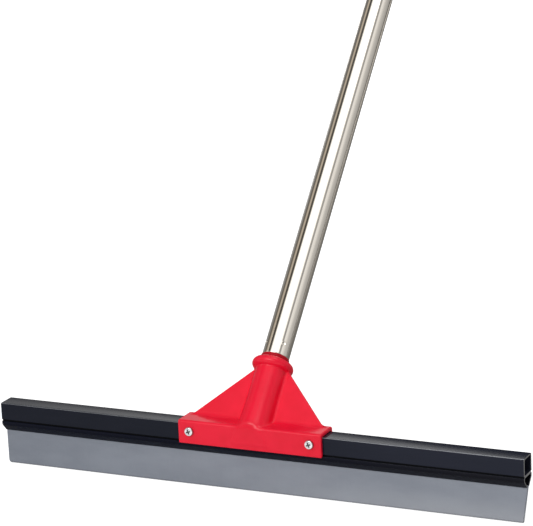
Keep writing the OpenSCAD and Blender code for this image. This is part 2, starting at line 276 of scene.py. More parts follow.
def extrusion(outline, hole, half_length, burr):
    """An outline and the hole in it, carried along X from one sawn end to the other. The corner of each
    sawn end is broken by the burr, and each end is filled between outline and hole."""
    stations = np.array([-half_length, burr - half_length, half_length - burr, half_length])
    insets = np.array([burr, 0, 0, burr])
    points, faces, ends = [], [], []
    first = 0
    for loop in (outline, hole):
        rings = np.stack([grown(loop, inset) for inset in insets])
        along = np.broadcast_to(stations[:, None, None], rings.shape[:2] + (1,))
        points.append(np.concatenate([along, rings], -1).reshape(-1, 3))
        faces.append(grid_quads(len(stations), len(loop), True, first))
        ends.append(first + np.arange(len(loop)))
        first += len(points[-1])
    rim = np.concatenate(ends)
    flat = [[Vector((0, *spot)) for spot in grown(loop, burr)] for loop in (outline, hole)]
    cap = rim[np.array(tessellate_polygon(flat))]
    last = np.concatenate([ends[0] + 3 * len(outline), ends[1] + 3 * len(hole)])
    far_cap = last[np.array(tessellate_polygon(flat))][:, ::-1]
    return np.concatenate(points), faces + [cap, far_cap]


anodised, paint, shader = new_material("Black anodised", Specular_IOR_Level=0.09)
x, y, z = place(paint)
die_lines = noise(paint, x * 0.004, y * 6.0, z * 6.0, detail=4.0)
cloud = noise(paint, x * 0.03, y * 0.2, z * 0.2)
specks = noise(paint, x * 1.7, y * 1.7, z * 1.7, detail=1.0).ramp(0.74, 0.8)
bare = abs(x).ramp(rail_half - 0.14, rail_half - 0.04)
saw_lines = noise(paint, y * 1.2, y * 5.0, z * 0.8, detail=2.0)
# Die lines and clouds vary the black at random, and a painted sheen makes it lighter towards the right end.
tone_and_painted_sheen = die_lines * 0.3 + cloud * 0.3 + x.ramp(0.0, 150.0, 0.0, 0.55)
black = tone_and_painted_sheen.mix((0.0050, 0.0066, 0.0125, 1), (0.0185, 0.0210, 0.0340, 1))
edge_z = rail_top - crown
edge = abs(y).ramp(rail_deep - 0.6, rail_deep - 0.2) * z.ramp(edge_z - 0.6, edge_z - 0.2)
# Painted shade: the jaw's underside is darker and bluer, going greyer towards the right end.
underside = z.ramp(jaw_top - 0.4, jaw_top + 0.2, 0.9, 0.0)
painted_jaw_shade = x.ramp(0.0, 200.0).mix((0.0, 0.0008, 0.008, 1), (0.0045, 0.0045, 0.008, 1))
# Painted highlight: a pale line along the long top edges, stronger towards the right end.
painted_edge_highlight = edge * (cloud * 0.6 + x.ramp(-100.0, 200.0, 0.2, 0.7))
painted_highlight_and_shade = painted_edge_highlight.mix(underside.mix(black, painted_jaw_shade), (0.34, 0.35, 0.375, 1))
# Painted shade: the groove along each side is nearly black.
groove = z.ramp(jaw_top - 0.2, jaw_top + 0.1) * z.ramp(box_low - 0.1, box_low + 0.2, 1.0, 0.0)
shaded = groove.mix(painted_highlight_and_shade, (0.0015, 0.0017, 0.0025, 1))
dusty = (specks * 0.12).mix(shaded, (0.2, 0.2, 0.2, 1))
# Saw lines on the sawn ends, which are also made darker towards the bottom.
saw_lines_darker_low = saw_lines * z.ramp(lip_z, box_low + 4.0, 0.3, 1.0)
sawn = saw_lines_darker_low.mix((0.18, 0.185, 0.195, 1), (0.8, 0.8, 0.81, 1))
drive(shader, paint,
      Base_Color=bare.mix(dusty, sawn),
      Metallic=bare,
      Roughness=die_lines.ramp(0.25, 0.75, 0.1, 0.17) + groove * 0.5,
      Normal=bumps(paint, die_lines, 0.008))

points, faces = extrusion(section, hollow, rail_half, saw_burr)
rail = add_piece("Rail", points, faces, anodised, "head", 40)
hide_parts("rail")


# Blade
# A grey rubber sheet with a round bulb along its upper edge, which slides into the jaw from an end.
# Its lower left corner is rounded and its right end is trimmed a little askew.

blade_half = 1.6
bulb_r = 3.2
bulb_set_back = 8.0
blade_trim = 4.0
blade_corner = 2.5
blade_edge_r, blade_crown = 0.35, 0.03
blade_sway = 0.16
blade_top = np.array(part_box("blade")[1])[2] / MM
bulb_z = blade_top - bulb_r
sheet_top = lip_z + 0.8


def blade_side():
    """The front half of the section from the lower edge up, as depth and height: a rounded lower edge,
    the flat sheet, a small fillet and then the bulb round to its crown."""
    edge = np.linspace(0, math.pi / 2, 7)
    lower = np.stack([blade_half - blade_edge_r + blade_edge_r * np.sin(edge),
                      blade_crown + blade_edge_r * (1 - np.cos(edge))], -1)
    heights = np.concatenate([np.linspace(1.0, sheet_top - 0.05, 40), [sheet_top + 0.05]])
    flat = np.stack([np.full(len(heights), blade_half), heights], -1)
    leave = math.acos(blade_half / bulb_r)
    turn = np.linspace(-leave, math.pi / 2 - 0.06, 22)
    bulb = np.stack([bulb_r * np.cos(turn), bulb_z + bulb_r * np.sin(turn)], -1)
    return np.concatenate([[[0.0, 0.0]], lower, flat, bulb, [[0.0, bulb_z + bulb_r]]])


def blade_ends(height):
    """Where the sheet starts and stops along X at each height: the corner's arc and the askew trim below
    the jaw, and the bulb's own set-back above it."""
    into = np.clip(blade_corner - height, 0, None)
    left = -rail_half + blade_corner - np.sqrt(blade_corner**2 - into**2)
    right = rail_half - blade_trim * np.clip(1 - height / lip_z, 0, 1)
    in_jaw = height > sheet_top
    return left + bulb_set_back * in_jaw, right - bulb_set_back * in_jaw


def blade_surface(stations):
    """Each station is a share of the way from the left end to the right end at every height, so both end
    faces follow their own outline. The last stations are drawn in, which rounds the end corners, and
    each end is closed across the thickness."""
    side = blade_side()
    loop = np.concatenate([side, side[-2:0:-1] * [-1, 1]])
    left, right = blade_ends(loop[:, 1])
    share = np.concatenate([[0, 0.0004], np.linspace(0.002, 0.998, stations), [0.9996, 1]])
    thin = np.ones(len(share))
    thin[[0, -1]] = 0.86
    along = left + share[:, None] * (right - left)
    deep = thin[:, None] * loop[:, 0]
    sway = blade_sway * np.sin(along * 0.021 + 0.6) * np.clip(1 - loop[:, 1] / lip_z, 0, 1) ** 2
    up = np.broadcast_to(loop[:, 1], along.shape)
    points = np.stack([along, deep + sway, up], -1).reshape(-1, 3)
    count, half_way = len(loop), len(side) - 1
    front = np.arange(1, half_way - 1)
    cap = np.stack([front, front + 1, count - front - 1, count - front], -1)
    tips = np.array([[0, 1, count - 1], [half_way - 1, half_way, half_way + 1]])
    far_end = count * (len(share) - 1)
    ends = [cap[:, ::-1], tips[:, ::-1], cap + far_end, tips + far_end]
    return points, [grid_quads(len(share), count, True)] + ends


rubber, paint, shader = new_material("Grey rubber", Specular_IOR_Level=0.35)
x, y, z = place(paint)
grain = noise(paint, x * 2.2, y * 2.2, z * 2.2, detail=4.0)
patches = noise(paint, x * 0.02, y * 0.1, z * 0.06)
drag = noise(paint, x * 0.35, y, z * 0.05, detail=2.0)
bloom = patches * 0.75 + drag * 0.1 + grain * 0.15
# Bloom mottles the grey, and the grey is paler towards the right end and most towards the lower right.
mottle_lighter_right = bloom.ramp(0.3, 0.7) * 0.5 + x.ramp(-230.0, 20.0) * 0.5
grey = mottle_lighter_right.mix((0.205, 0.224, 0.264, 1), (0.288, 0.310, 0.357, 1))
paling_low_right = z.ramp(0.0, 24.0, 1.0, 0.0) ** 1.4 * x.ramp(-60.0, 190.0) * 0.75
paler = paling_low_right.mix(grey, (0.38, 0.395, 0.43, 1))
# A darker line along the bottom edge.
dark_bottom_edge = z.ramp(0.3, 1.6, 0.45, 0.0)
drive(shader, paint,
      Base_Color=dark_bottom_edge.mix(paler, (0.09, 0.092, 0.1, 1)),
      Roughness=bloom.ramp(0.3, 0.7, 0.5, 0.68),
      Normal=bumps(paint, grain * 0.8 + drag * 0.2, 0.02))

points, faces = blade_surface(60)
blade = add_piece("Blade", points, faces, rubber, "blade", 50)
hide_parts("blade")


# Socket
# One red moulding: a saddle over the rail, a leaning tube with a thread inside, a web on each side of
# the tube and a rolled bead under the rim. All its inner corners run out in fillets.

lean = math.radians(43.3)
axis_z = rail_top - 2.25
saddle_low, saddle_high = (np.array(corner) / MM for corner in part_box("socket"))
saddle_half = saddle_high[0]
saddle_deep = -saddle_low[1]
saddle_top = rail_top + 3.1
saddle_gap, saddle_drop = 0.1, 16.3
saddle_edge_r, saddle_end_r, saddle_low_r, saddle_inner_r = 2.2, 1.0, 0.8, 0.5
socket_r = 12.9
socket_rim = 59.5
bead_r, bead_tube_r = 13.0, 4.0
bead_s = socket_rim - bead_tube_r
foot_flare, foot_s = 1.1, 12.0
foot_lift, foot_r = 4.0, 2.0
web_middle, web_half = 2.0, 2.25
web_foot_x, web_foot_s = 58.0, 7.35
web_top_x, web_top_s = 12.0, 55.5
web_edge_r, web_fillet, saddle_fillet, bead_fillet = 1.2, 2.2, 1.8, 1.0
rim_r, bore_edge_r = 0.6, 0.4
bore_r, bore_floor = 9.65, 26.4
thread_pitch = 5.08
thread_rise = 1.95
thread_start, thread_stop, thread_runout = 1.5, 3.0, 1.2


def axis_frame(points):
    """Points as X, depth behind the handle axis and height along it."""
    up = points[:, 2] - axis_z
    depth = points[:, 1] * math.cos(lean) - up * math.sin(lean)
    height = points[:, 1] * math.sin(lean) + up * math.cos(lean)
    return points[:, 0], depth, height


def from_axis_frame(x, depth, height):
    """The reverse of axis_frame, as an array of points."""
    return np.stack([x, depth * math.cos(lean) + height * math.sin(lean),
                     axis_z - depth * math.sin(lean) + height * math.cos(lean)], -1)


def soft_least(a, b, radius):
    """The lesser of two distances, rounded off with a fillet of about this radius where they are equal."""
    share = np.clip(0.5 + 0.5 * (b - a) / radius, 0, 1)
    return b + (a - b) * share - radius * share * (1 - share)


def soft_most(a, b, radius):
    """The greater of two distances, with the corner rounded off."""
    return -soft_least(-a, -b, radius)


def bar(y, below_top, half, radius):
    """Distance to a bar along X that has no lower end, with this radius on its two upper edges."""
    over = np.stack([np.abs(y) - half, -below_top]) + radius
    return np.linalg.norm(np.maximum(over, 0), axis=0) + np.minimum(over.max(0), 0) - radius


def thread_wave(x, depth, height):
    """1 on the crest of a right-hand thread and 0 in its groove, with sloping flanks between."""
    turn = np.arctan2(depth, x) / (2 * math.pi)
    share = (height / thread_pitch - turn) % 1
    return np.clip((0.36 - np.abs(share - 0.5)) / 0.11, 0, 1)


def socket_distance(points):
    """Distance to the socket's surface, below 0 inside it. The saddle, the tube, the webs and the bead are
    each a plain solid, and they run together with soft_least."""
    x, depth, height = axis_frame(points)
    y, z = points[:, 1], points[:, 2]
    low = rail_top - saddle_drop
    saddle = soft_most(bar(y, saddle_top - z, saddle_deep, saddle_edge_r), low - z, saddle_low_r)
    saddle = soft_most(saddle, np.abs(x) - saddle_half, saddle_end_r)
    radial = np.hypot(x, depth)
    foot = radial - socket_r - foot_flare * (1 - height / foot_s)
    tube = soft_most(soft_least(radial - socket_r, foot, foot_r), -saddle_deep - y, saddle_edge_r)
    tube = soft_most(tube, low + foot_lift - z, foot_r)
    run, rise = web_foot_x - web_top_x, web_top_s - web_foot_s
    edge = ((np.abs(x) - web_foot_x) * rise + (height - web_foot_s) * run) / math.hypot(run, rise)
    web = soft_most(np.abs(depth - web_middle) - web_half, edge, web_edge_r)
    web = soft_most(web, np.abs(x) - web_foot_x, web_edge_r)
    web = np.maximum(web, rail_top - z)
    body = soft_least(tube, web, web_fillet)
    body = soft_least(body, saddle, saddle_fillet)
    bead = np.hypot(radial - bead_r, height - bead_s) - bead_tube_r
    body = soft_least(body, bead, bead_fillet)
    body = soft_most(body, height - socket_rim, rim_r)
    rail_space = np.maximum(np.abs(y) - rail_deep - saddle_gap, z - rail_top - saddle_gap)
    body = soft_most(body, -rail_space, saddle_inner_r)
    fade_in = np.clip((height - bore_floor) / thread_start, 0, 1)
    fade = fade_in * np.clip((socket_rim - thread_stop - height) / thread_runout, 0, 1)
    crest = thread_rise * thread_wave(x, depth, height) * fade
    bore = np.maximum(radial - bore_r + crest, bore_floor - height)
    return soft_most(body, -bore, bore_edge_r)


def implicit_surface(distance, low, high, step):
    """The surface where a distance is 0, between two corners. Each cell of a cubic lattice that the
    surface crosses gets one point, at the mean of the crossings on its edges and then moved onto the
    surface, and each lattice edge that is crossed gets the quad of its four cells. Where only two opposite
    corners of a cell's side are inside, all four count as inside, so that two sheets never share an edge."""
    axes = [np.arange(a, b + step, step) for a, b in zip(low, high)]
    lattice = np.stack(np.meshgrid(*axes, indexing="ij"), -1)
    value = distance(lattice.reshape(-1, 3)).reshape(lattice.shape[:3])
    inside = value < 0
    for _ in range(12):
        for axis in range(3):
            layer = np.moveaxis(inside, axis, 2)
            spots = layer[:-1, :-1], layer[1:, :-1], layer[:-1, 1:], layer[1:, 1:]
            doubtful = (spots[0] == spots[3]) & (spots[1] == spots[2]) & (spots[0] != spots[1])
            for spot in spots:
                spot |= doubtful
    value = np.where(inside, np.minimum(value, -0.001 * step), value)
    corners = np.array([[i, j, k] for i in (0, 1) for j in (0, 1) for k in (0, 1)])
    edges = [(a, b) for a in range(8) for b in range(a + 1, 8)
             if np.abs(corners[a] - corners[b]).sum() == 1]
    size = np.array(inside.shape) - 1
    held = sum(inside[i:i + size[0], j:j + size[1], k:k + size[2]].astype(int) for i, j, k in corners)
    crossed = (held > 0) & (held < 8)
    cells = np.argwhere(crossed)
    number = np.full(crossed.shape, -1)
    number[crossed] = np.arange(len(cells))
    corner_value = np.stack([value[tuple((cells + corner).T)] for corner in corners])
    total = np.zeros(cells.shape)
    count = np.zeros((len(cells), 1))
    for a, b in edges:
        gap = corner_value[a] - corner_value[b]
        cut = (corner_value[a] < 0) != (corner_value[b] < 0)
        share = np.where(cut, corner_value[a] / np.where(cut, gap, 1), 0)
        total += np.where(cut[:, None], corners[a] + share[:, None] * (corners[b] - corners[a]), 0)
        count += cut[:, None]
    points = np.array(low) + step * (cells + total / count)
    for _ in range(3):
        here = distance(points)
        nudge = 0.02 * step * np.eye(3)
        gains = [distance(points + way) - distance(points - way) for way in nudge]
        slope = np.stack(gains, -1) / (0.04 * step)
        steep = np.maximum((slope**2).sum(1), 0.2)
        points = points - np.clip(here / steep, -0.3 * step, 0.3 * step)[:, None] * slope
    quads = []
    for axis in range(3):
        turned = np.moveaxis(inside, axis, 0)
        cell = np.moveaxis(number, axis, 0)
        i, j, k = np.nonzero(turned[:-1, 1:-1, 1:-1] != turned[1:, 1:-1, 1:-1])
        ring = np.stack([cell[i, j, k], cell[i, j + 1, k], cell[i, j + 1, k + 1], cell[i, j, k + 1]], -1)
        leaving = turned[i, j + 1, k + 1]
        quads.append(np.where((leaving if axis != 1 else ~leaving)[:, None], ring, ring[:, ::-1]))
    return points, quads


def red_plastic(name, deep, pale, shine):
    """Semi-gloss red plastic: a slightly cloudy colour, a fine moulded grain and faint rub marks."""
    material, paint, shader = new_material(name, Specular_IOR_Level=shine)
    x, y, z = place(paint)
    cloud = noise(paint, x * 0.05, y * 0.05, z * 0.05)
    grain = noise(paint, x * 3.0, y * 3.0, z * 3.0, detail=2.0)
    rubs = noise(paint, x * 0.25, y * 2.5, z * 2.5, detail=5.0).ramp(0.6, 0.75)
    drive(shader, paint,
          Base_Color=(cloud.ramp(0.3, 0.7) * 0.8 + rubs * 0.12).mix(deep, pale),
          Roughness=grain * 0.06 + rubs * 0.08 + 0.28,
          Normal=bumps(paint, grain, 0.014))
    return material


socket_red = red_plastic("Socket red", (0.82, 0.003, 0.027, 1), (0.90, 0.006, 0.036, 1), 0.33)
points, faces = implicit_surface(socket_distance, saddle_low - 1.5, saddle_high + 1.5, 0.62)
socket = add_piece("Socket", points, faces, socket_red, "head")
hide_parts("socket")


# Bolts, washers and nuts
# Two zinc-plated pan-head bolts go through saddle and rail from the front. Each has a washer and a
# lock nut with a white plastic insert at the back.

bolt_x = 52.5
bolt_z = rail_top - 5.8
bolt_r = 2.0
bolt_turns = 96
bolt_pitch, bolt_thread_deep, bolt_tip = 0.7, 0.28, 0.6
head_r, head_h = 3.7, 2.4
dome_fall, head_edge_fall = 0.55, 0.9
recess_turn = math.radians(20)
recess_reach, recess_half, recess_slope, recess_deep = 1.5, 0.62, 0.25, 1.3
washer_r, washer_thick = 4.5, 0.8
nut_h, nut_collar_h = 3.2, 1.6
bolt_end = saddle_deep + washer_thick + nut_h + nut_collar_h + 1.4


def across_rail(x, side_way, up, along):
    """Points about a bolt's own line, where along runs to the back."""
    return np.stack([x + side_way, along, bolt_z + up], -1)


def turned(profile, turns=64, spread=None):
    """A profile of radius and height turned about an axis, as across, away and height on a grid. A spread
    scales the radius round the turn."""
    around = np.linspace(0, 2 * math.pi, turns, endpoint=False)
    profile = np.array(profile, float)
    scale = np.ones((len(profile), turns)) if spread is None else spread
    radius = profile[:, :1] * scale
    height = np.broadcast_to(profile[:, 1:2], radius.shape)
    return radius * np.cos(around), radius * np.sin(around), height


def bolt_surface(x):
    """The head is a dome whose height is cut by a cross of two rounded slots, on a polar grid. The shank
    goes on from the head's underside, and its turned end carries a helical thread."""
    around = np.linspace(0, 2 * math.pi, bolt_turns, endpoint=False)
    out = np.linspace(0.02, 1, 40)[:, None] ** 0.8
    across, away = head_r * out * np.cos(around), head_r * out * np.sin(around)
    dome = head_h - dome_fall * out**2 - head_edge_fall * np.clip((out - 0.86) / 0.14, 0, 1) ** 2
    one = across * math.cos(recess_turn) + away * math.sin(recess_turn)
    two = away * math.cos(recess_turn) - across * math.sin(recess_turn)
    arm = np.minimum(np.hypot(np.clip(np.abs(one) - recess_reach, 0, None), two),
                     np.hypot(np.clip(np.abs(two) - recess_reach, 0, None), one))
    deep = recess_deep * np.clip((recess_half - arm) / recess_slope, 0, 1)
    head = across_rail(x, across, away, -saddle_deep - dome + deep)
    rim = across_rail(x, head_r * np.cos(around), head_r * np.sin(around), np.full(bolt_turns, -saddle_deep))
    along = np.concatenate([[-saddle_deep], np.linspace(saddle_deep, bolt_end - 0.4, 70), [bolt_end]])
    turn = around / (2 * math.pi)
    wave = np.abs((along[:, None] / bolt_pitch - turn) % 1 - 0.5) * 2
    radius = bolt_r - bolt_thread_deep * wave * (along[:, None] > saddle_deep)
    radius[-1] = bolt_r - bolt_tip
    shank = across_rail(x, radius * np.cos(around), radius * np.sin(around),
                        np.broadcast_to(along[:, None], radius.shape))
    points = np.concatenate([head.reshape(-1, 3), rim, shank.reshape(-1, 3)])
    rows = len(points) // bolt_turns
    tip = np.arange((rows - 1) * bolt_turns, rows * bolt_turns)
    centre = np.arange(bolt_turns)
    return points, [grid_quads(rows, bolt_turns, True), [tip[::-1].tolist()], [centre.tolist()]]


def ring_surface(x, start, profile, spread=None):
    """A closed profile of radius and height turned about a bolt's line, from a start along it."""
    turns = 64 if spread is None else spread.shape[1]
    across, away, height = turned(profile + profile[:1], turns, spread)
    points = across_rail(x, across, away, start + height)
    return points.reshape(-1, 3), [grid_quads(len(profile) + 1, turns, True)]


def hexagon(rows, flat_rows):
    """How far out each turn of a hexagon's rim lies, where flat_rows says which rows are six-sided."""
    around = np.linspace(0, 360, bolt_turns, endpoint=False)
    sides = 1 / np.cos(np.radians((around + 30) % 60 - 30))
    return np.where(np.array(flat_rows)[:, None], np.broadcast_to(sides, (rows, bolt_turns)), 1.0)


zinc, paint, shader = new_material("Zinc plate", Metallic=1.0)
x, y, z = place(paint)
spangle = noise(paint, x * 1.5, y * 1.5, z * 1.5)
handling = noise(paint, x * 6.0, y * 0.8, z * 6.0, detail=4.0)
beside = abs(x) - bolt_x
above = z - bolt_z
out = (beside * beside + above * above) ** 0.5
on_head = y.ramp(0.2 - saddle_deep, 0.6 - saddle_deep, 1.0, 0.0)
# Painted shade: the cross recess in each bolt head is dark grey.
sunk = (y + saddle_deep + head_h - out * out * (dome_fall / head_r**2)).ramp(0.2, 0.7) * on_head
recess = sunk * out.ramp(0.72 * head_r, 0.8 * head_r, 1.0, 0.0)
# Painted shade and painted reflection of the red saddle: a dark, faintly red ring round each bolt head's
# rim.
rim = out.ramp(0.9 * head_r, 0.99 * head_r) * on_head
bright = spangle.ramp(0.35, 0.65).mix((0.76, 0.78, 0.79, 1), (0.9, 0.91, 0.91, 1))
drive(shader, paint,
      Base_Color=recess.mix((rim * 0.8).mix(bright, (0.2, 0.17, 0.17, 1)), (0.17, 0.18, 0.175, 1)),
      Roughness=handling.ramp(0.3, 0.7, 0.2, 0.36),
      Normal=bumps(paint, handling, 0.01))

nylon, paint, shader = new_material("White nylon", Roughness=0.5)
x, y, z = place(paint)
waxy = noise(paint, x * 2.0, y * 2.0, z * 2.0)
drive(shader, paint, Base_Color=waxy.mix((0.66, 0.66, 0.63, 1), (0.8, 0.8, 0.77, 1)))

washer_profile = [(2.06, 0.1), (2.2, 0), (washer_r - 0.1, 0), (washer_r, 0.1), (washer_r, 0.65),
                  (washer_r - 0.15, washer_thick), (2.2, washer_thick), (2.06, 0.7)]
nut_profile = [(2.1, 0.15), (2.4, 0.0), (3.2, 0.0), (3.5, 0.25), (3.5, 2.75), (3.3, 3.15), (3.3, 4.3),
               (3.0, 4.75), (2.75, 4.8), (2.7, 4.6), (2.7, nut_h), (2.1, nut_h)]
insert_profile = [(2.06, 0), (2.65, 0), (2.65, 1.15), (2.5, 1.28), (2.2, 1.28), (2.06, 1.1)]
nut_spread = hexagon(len(nut_profile) + 1, [0, 0, 0, 1, 1, 0, 0, 0, 0, 0, 0, 0, 0])
for side, where in (("left", -bolt_x), ("right", bolt_x)):
    points, faces = bolt_surface(where)
    bolt = add_piece(f"Bolt_{side}", points, faces, zinc, "head", 35)
    points, faces = ring_surface(where, saddle_deep, washer_profile)
    washer = add_piece(f"Washer_{side}", points, faces, zinc, "head", 35)
    points, faces = ring_surface(where, saddle_deep + washer_thick, nut_profile, nut_spread)
    nut = add_piece(f"Nut_{side}", points, faces, zinc, "head", 30)
    points, faces = ring_surface(where, saddle_deep + washer_thick + nut_h, insert_profile)
    insert = add_piece(f"Nut_insert_{side}", points, faces, nylon, "head", 35)
    for piece, node in ((bolt, "bolt"), (washer, "washer"), (nut, "nut"), (insert, "nut_insert")):
        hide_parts(f"{node}_{side}")


# Collar ring
# A loose red plastic ring round the ferrule's neck. It lies between the socket's rim and the end of the
# tube, and rises with the handle as that is screwed out.

ring_r, ring_h = 11.7, 4.0
tube_foot = socket_rim + ring_h


def axis_rings(profile, start, turns=96):
    """A profile of radius and height turned about the handle axis, from a start along it."""
    across, depth, height = turned(profile, turns)
    points = from_axis_frame(across, depth, start + height).reshape(-1, 3)
    return points, [grid_quads(len(profile), turns, True)]


# Painted shade: the ring and the ferrule use a darker, less glossy copy of the socket's red.
ring_red_painted_shade = red_plastic("Shaded ring red", (0.37, 0.004, 0.012, 1), (0.45, 0.007, 0.018, 1), 0.12)
ring_profile = rounded_loop([
    (bore_r, 0, 0.3),
    (ring_r, 0, 0.45),
    (ring_r, ring_h, 0.45),
    (bore_r, ring_h, 0.3),
])
points, faces = axis_rings(np.concatenate([ring_profile, ring_profile[:1]]), socket_rim)
ring = add_piece("Collar_ring", points, faces, ring_red_painted_shade, "collar", 40)
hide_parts("collar_ring")


# Ferrule
# A red plastic plug with a coarse thread below. Its upper part is staked into the tube, and its thread
# runs in the thread of the socket.

thread_r, thread_core_r = 9.3, 7.0
tip_chamfer = 0.6
plug_r, plug_length = 10.2, 30
shank_foot = socket_rim - 6 * thread_pitch


def ferrule_surface():
    """Radius as a function of turn and height: a chamfered tip, a threaded shank whose ridge stands out
    where the thread's wave is 1, and a plain neck. A plug closes it inside the tube."""
    turns = 120
    around = np.linspace(0, 2 * math.pi, turns, endpoint=False)
    plug_top = tube_foot + plug_length
    height = np.concatenate([[shank_foot, shank_foot],
                             np.linspace(shank_foot + 0.05, socket_rim - 0.05, 240),
                             [socket_rim, tube_foot, tube_foot + 0.1, plug_top, plug_top]])
    tall = height[:, None] + 0 * around
    wave = thread_wave(np.cos(around), np.sin(around), tall + thread_pitch / 2)
    fade = np.clip((tall - shank_foot) / 2.5, 0, 1) * np.clip((socket_rim - 0.8 - tall) / 1.5, 0, 1)
    core = thread_core_r - tip_chamfer * np.clip(1 - (tall - shank_foot) / 1.3, 0, 1)
    radius = core + (thread_r - thread_core_r) * wave * fade
    radius = np.where(tall >= socket_rim, thread_r, radius)
    radius = np.where(tall > tube_foot, plug_r, radius)
    radius[[0, -1]] = 0.0
    points = from_axis_frame(radius * np.cos(around), radius * np.sin(around), tall).reshape(-1, 3)
    return points, [grid_quads(len(height), turns, True)]


points, faces = ferrule_surface()
ferrule = add_piece("Ferrule", points, faces, ring_red_painted_shade, "handle", 45)
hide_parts("ferrule")


# Handle tube
# A bright thin-walled steel tube, brushed along its length. Near its lower end four punch marks press
# its wall into the ferrule.

tube_r, tube_wall = 11.1, 0.8
tube_length = 1219.0
tube_top = tube_foot + tube_length
stake_s = tube_foot + 10.0
stake_wide, stake_deep, stake_lip = 1.25, 0.8, 0.08


def tube_surface():
    """Radius as a function of turn and height: a round tube with small rounded ends that go round to the
    inside, and a smooth dent with a slightly raised lip at each punch mark."""
    turns = 192
    around = np.linspace(0, 2 * math.pi, turns, endpoint=False)
    bend = np.linspace(0, math.pi, 7)
    half = tube_wall / 2
    foot = np.stack([tube_r - half - half * np.cos(bend), tube_foot + half - half * np.sin(bend)], -1)
    top = np.stack([tube_r - half + half * np.cos(bend), tube_top - half + half * np.sin(bend)], -1)
    heights = np.concatenate([np.linspace(tube_foot + 1, stake_s - 4, 8),
                              np.linspace(stake_s - 3.6, stake_s + 3.6, 37),
                              np.linspace(stake_s + 5, tube_top - 1, 160)])
    wall = np.stack([np.full(len(heights), tube_r), heights], -1)
    profile = np.concatenate([foot, wall, top, foot[:1]])
    radius = np.repeat(profile[:, :1], turns, 1)
    height = np.repeat(profile[:, 1:], turns, 1)
    nearest = (np.degrees(around) % 90) - 45
    apart = np.hypot(np.radians(nearest) * tube_r, height - stake_s) / stake_wide
    outer = radius > tube_r - 0.01
    lip = stake_lip * np.exp(-((apart - 1.35) / 0.3) ** 2)
    radius = radius - outer * (stake_deep * np.exp(-apart**4) - lip)
    points = from_axis_frame(radius * np.cos(around), radius * np.sin(around), height).reshape(-1, 3)
    return points, [grid_quads(len(profile), turns, True)]


steel, paint, shader = new_material("Brushed tube", Metallic=1.0)
x, y, z = place(paint)
behind = y * math.cos(lean) - (z - axis_z) * math.sin(lean)
along = y * math.sin(lean) + (z - axis_z) * math.cos(lean)
brushed = noise(paint, x * 9.0, behind * 9.0, along * 0.03, detail=3.0)
drawn = noise(paint, x * 1.1, behind * 1.1, along * 0.004, detail=2.0)
prints = noise(paint, x * 0.08, behind * 0.08, along * 0.03, detail=4.0)
grained = (brushed * 0.6 + drawn * 0.4).ramp(0.3, 0.7)
drive(shader, paint,
      Base_Color=grained.mix((0.80, 0.745, 0.665, 1), (0.90, 0.845, 0.765, 1)),
      Roughness=brushed * 0.06 + prints.ramp(0.45, 0.75) * 0.04 + 0.06,
      Normal=bumps(paint, brushed * 0.5 + drawn * 0.5, 0.002))

points, faces = tube_surface()
tube = add_piece("Handle_tube", points, faces, steel, "handle", 40)
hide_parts("handle_tube")


# Hanging cap
# A red plastic plug pushed into the top of the tube, with a collar that is flush with the tube's outside.
# A flat eye stands on the collar, to hang the tool up by.

cap_collar_h, cap_plug = 4.0, 6.0
eye_half_wide, eye_half_thick = 10.0, 4.0
eye_s = tube_top + cap_collar_h + 12.0
eye_hole_r = 4.5


def cap_distance(points):
    """Distance to the cap's surface: a round collar and plug, run together with a flat eye that ends in a
    half circle and has a rounded hole."""
    x, depth, height = axis_frame(points)
    radial = np.hypot(x, depth)
    collar = soft_most(radial - tube_r + 0.1, np.abs(height - tube_top - 2.05) - 1.95, 0.8)
    plug_height = np.maximum(tube_top - cap_plug - height, height - tube_top - 2)
    plug = np.maximum(radial - tube_r + tube_wall + 0.15, plug_height)
    below = np.where(height < eye_s, 0, height - eye_s)
    eye = soft_most(np.hypot(x, below) - eye_half_wide, np.abs(depth) - eye_half_thick, 1.6)
    eye = np.maximum(eye, tube_top + 1 - height)
    hole = np.hypot(x, height - eye_s) - eye_hole_r
    body = soft_least(soft_least(collar, eye, 2.5), plug, 0.2)
    body = np.maximum(body, radial - tube_r + 0.02)
    return soft_most(body, -hole, 1.4)


cap_box = [np.array(corner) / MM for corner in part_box("hang_cap")]
cap_low = np.array([cap_box[0][0], cap_box[1][1] - 33, cap_box[1][2] - 34])
points, faces = implicit_surface(cap_distance, cap_low - 1.5, cap_box[1] + 1.5, 0.5)
cap = add_piece("Hanging_cap", points, faces, socket_red, "handle")
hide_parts("hang_cap")


# Studio
# A white floor that runs out of the picture on all sides, soft lamps in front, above, behind and on the
# left, and a room whose pale and dark walls are seen in the tube and the rail. The camera's place was
# fitted to the photo's edges.

scene = bpy.context.scene
scene.view_settings.view_transform = "Standard"

floor_half, floor_z = 9, -0.0004
floor_corners = [(-floor_half, -floor_half, floor_z), (floor_half, -floor_half, floor_z),
                 (floor_half, floor_half, floor_z), (-floor_half, floor_half, floor_z)]
floor_mesh = bpy.data.meshes.new("Floor")
floor_mesh.from_pydata(floor_corners, [], [(0, 1, 2, 3)])
floor = bpy.data.objects.new("Floor", floor_mesh)
scene.collection.objects.link(floor)
white, paint, shader = new_material("White floor", Roughness=0.9, Specular_IOR_Level=0.0,
                                    Emission_Strength=1.0)
seen = paint.node("ShaderNodeLightPath", "Is Camera Ray")
mirrored_ray = paint.node("ShaderNodeLightPath", "Is Glossy Ray")
x, y, z = place(paint)
far = (x * x + y * y) ** 0.5
dim = mirrored_ray * y.ramp(-120.0, 40.0)
beside = far.ramp(1000.0, 3000.0).mix((0.45, 0.44, 0.425, 1), (0.37, 0.36, 0.345, 1))
mirrored_floor = abs(x).ramp(150.0, 1000.0).mix((0.24, 0.235, 0.225, 1), beside)
glow = seen * far.ramp(500.0, 2200.0, 0.7, 0.9)
